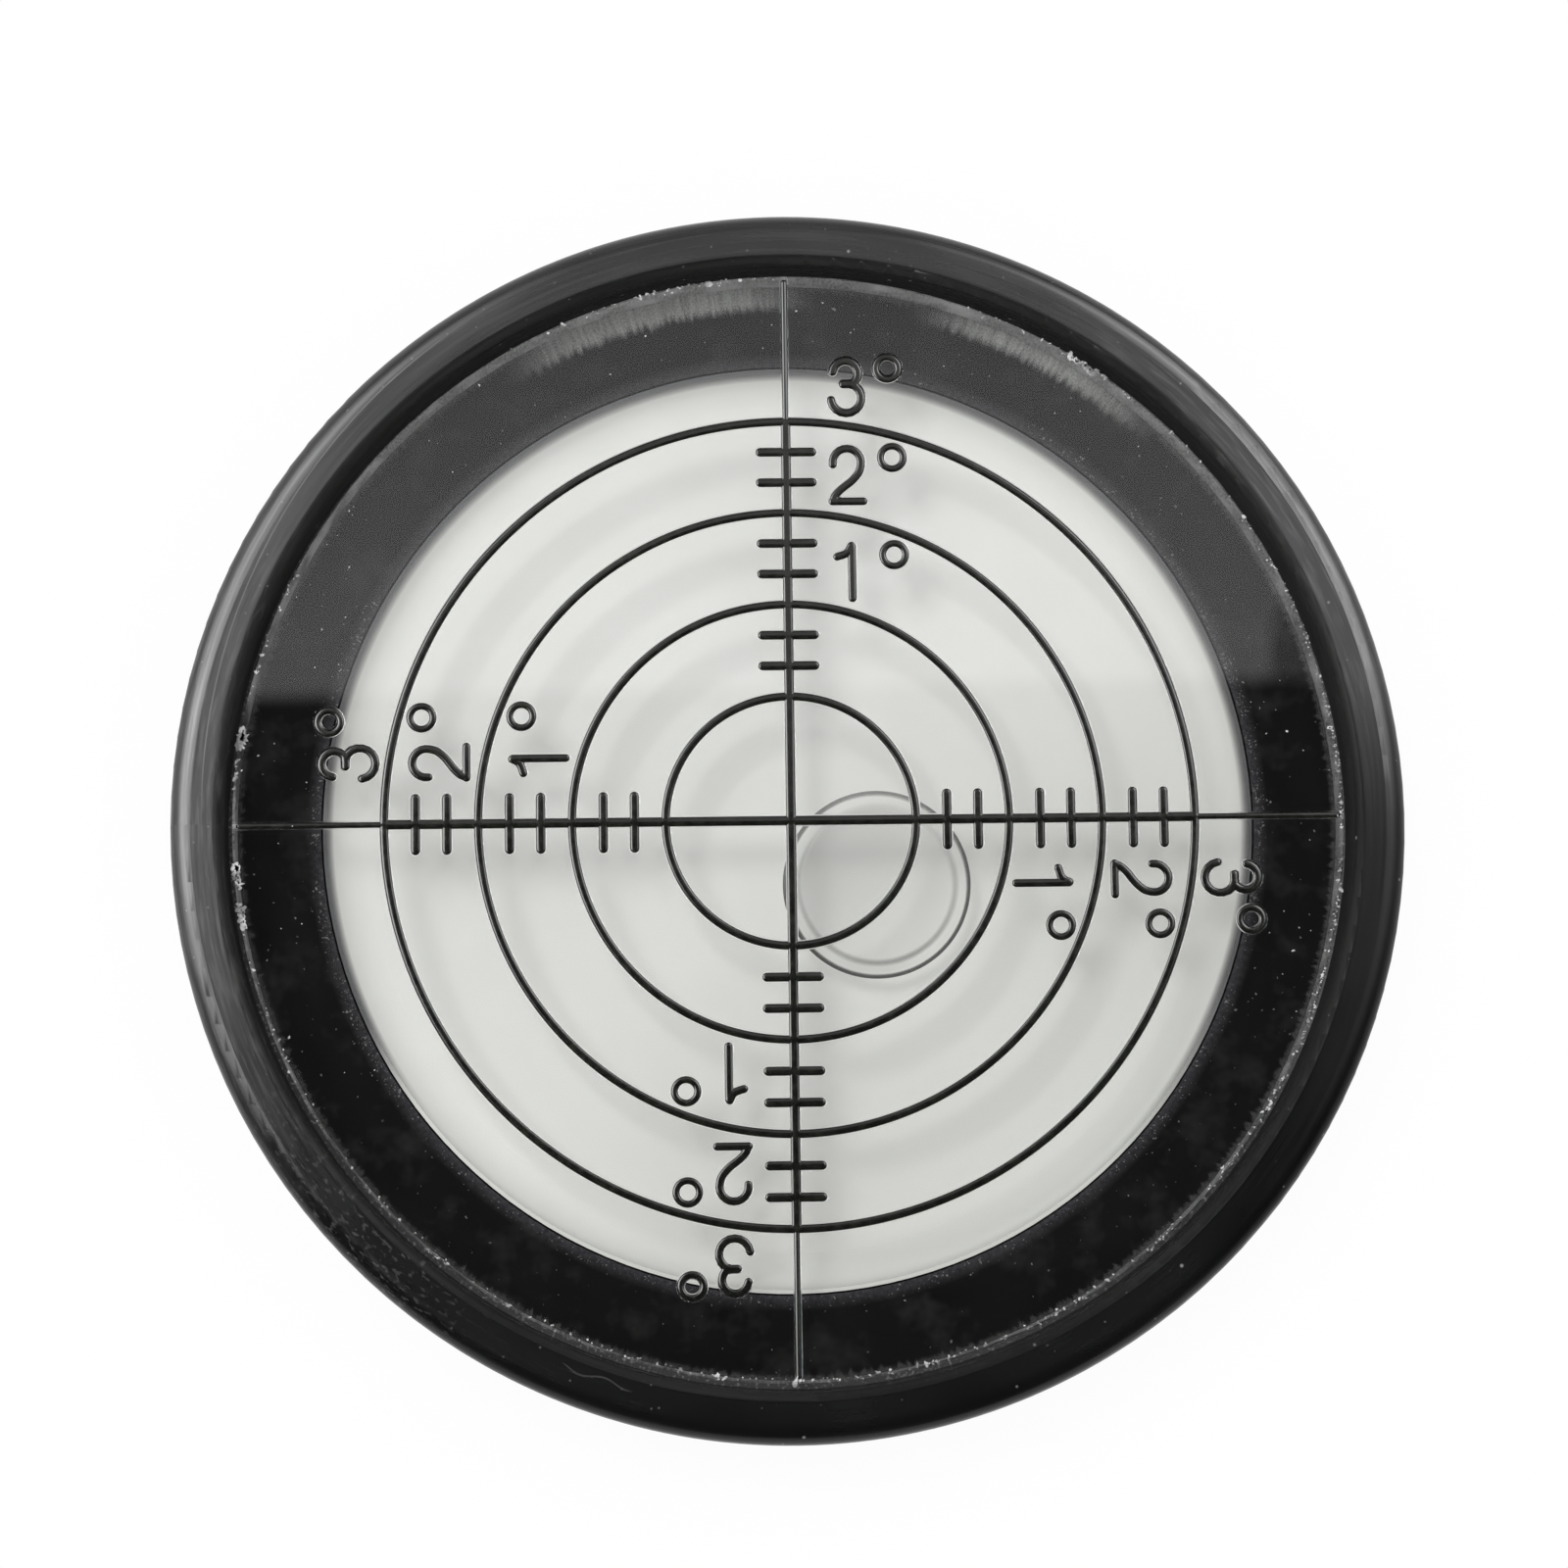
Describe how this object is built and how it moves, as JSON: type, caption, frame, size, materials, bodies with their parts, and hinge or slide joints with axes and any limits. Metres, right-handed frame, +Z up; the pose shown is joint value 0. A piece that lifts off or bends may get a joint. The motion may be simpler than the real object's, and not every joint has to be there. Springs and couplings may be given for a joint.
{
  "type": "bullseye level",
  "caption": "Round bullseye level: black cupped housing, clear lens with an engraved degree reticle, liquid chamber with a bubble over a white disc.",
  "frame": {"origin": "centre of the flat base", "axes": "+Z up through the lens, +X along one line of the reticle's cross"},
  "size_m": [0.066, 0.066, 0.011],
  "materials": {
    "black_abs": "semi-gloss moulded, lightly scuffed",
    "white_plastic": "matt",
    "spirit": "clear liquid",
    "clear_acrylic": "polished",
    "ink": "matt paint",
    "cement": "set adhesive",
    "plug_plastic": "moulded"
  },
  "bodies": {
    "root": {"housing": "black_abs", "backing_disc": "white_plastic", "liquid": "spirit", "lens": "clear_acrylic", "reticle_ink": "ink", "cement_bead": "cement", "filling_plug": "plug_plastic"}
  },
  "joints": []
}
